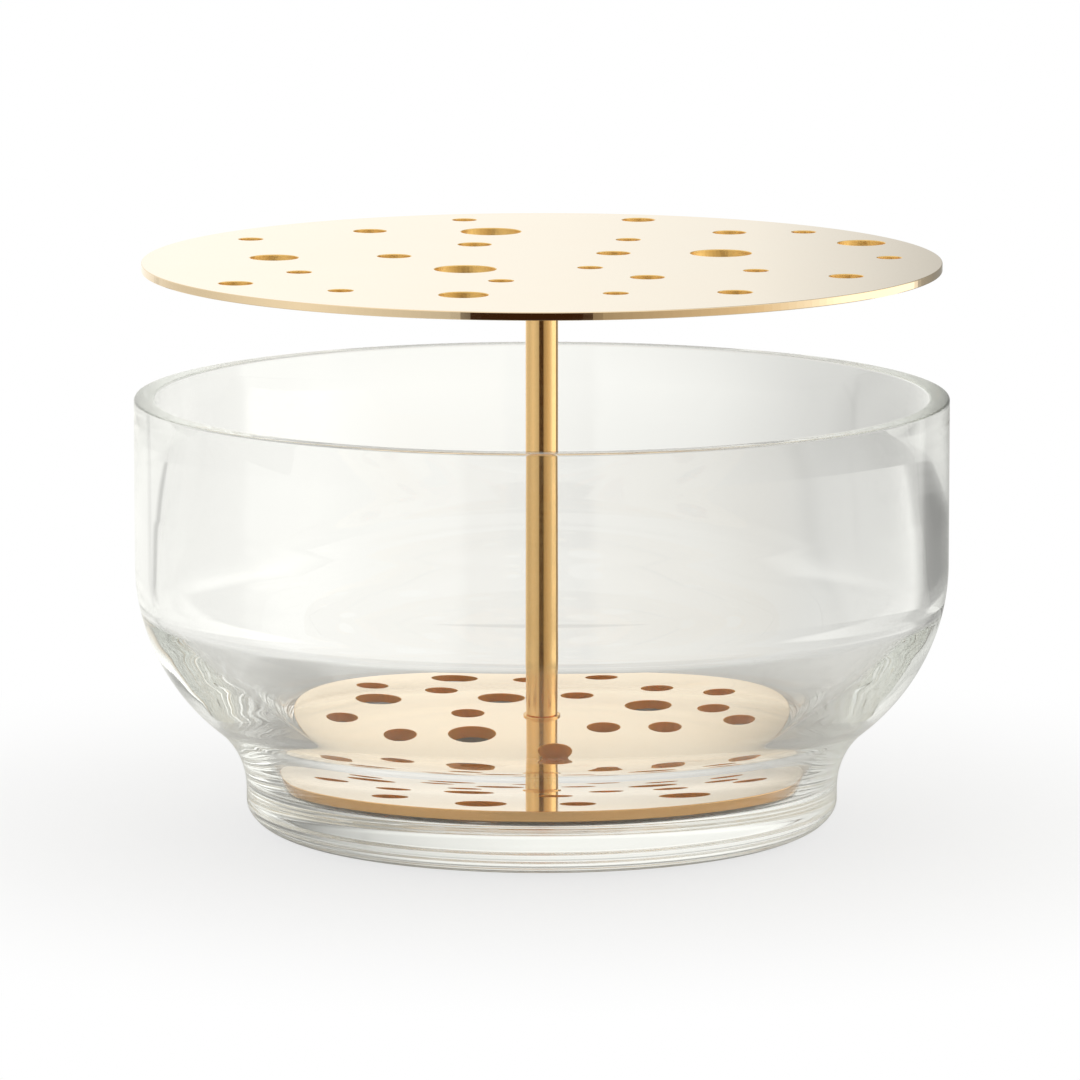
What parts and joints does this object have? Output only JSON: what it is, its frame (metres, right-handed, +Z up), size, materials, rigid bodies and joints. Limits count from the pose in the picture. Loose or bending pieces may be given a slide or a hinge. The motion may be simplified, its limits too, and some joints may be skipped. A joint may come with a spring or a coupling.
{
  "type": "ikebana vase",
  "caption": "Clear glass bowl with a drawn-in foot and a lift-out polished brass flower holder: a perforated disc on a stem above a smaller perforated disc.",
  "frame": {"origin": "middle of the bowl's base, on the table", "axes": "+Z up along the bowl's axis, -Y towards the picture's camera, +X to its right"},
  "size_m": [0.2, 0.2, 0.1405],
  "materials": {
    "glass": "clear polished",
    "brass": "mirror polished",
    "steel": "satin",
    "silicone": "clear soft"
  },
  "bodies": {
    "bowl": {"glass_bowl": "glass"},
    "holder": {"top_plate": "brass", "top_stud": "brass", "stem": "brass", "stem_washer": "brass", "bottom_plate": "brass", "bottom_screw": "steel", "pad_front": "silicone", "pad_right": "silicone", "pad_left": "silicone"}
  },
  "joints": [
    {"name": "holder_lift", "type": "slide", "parent": "bowl", "child": "holder", "axis": [0, 0, 1], "range_m": [0, 0.12]}
  ]
}
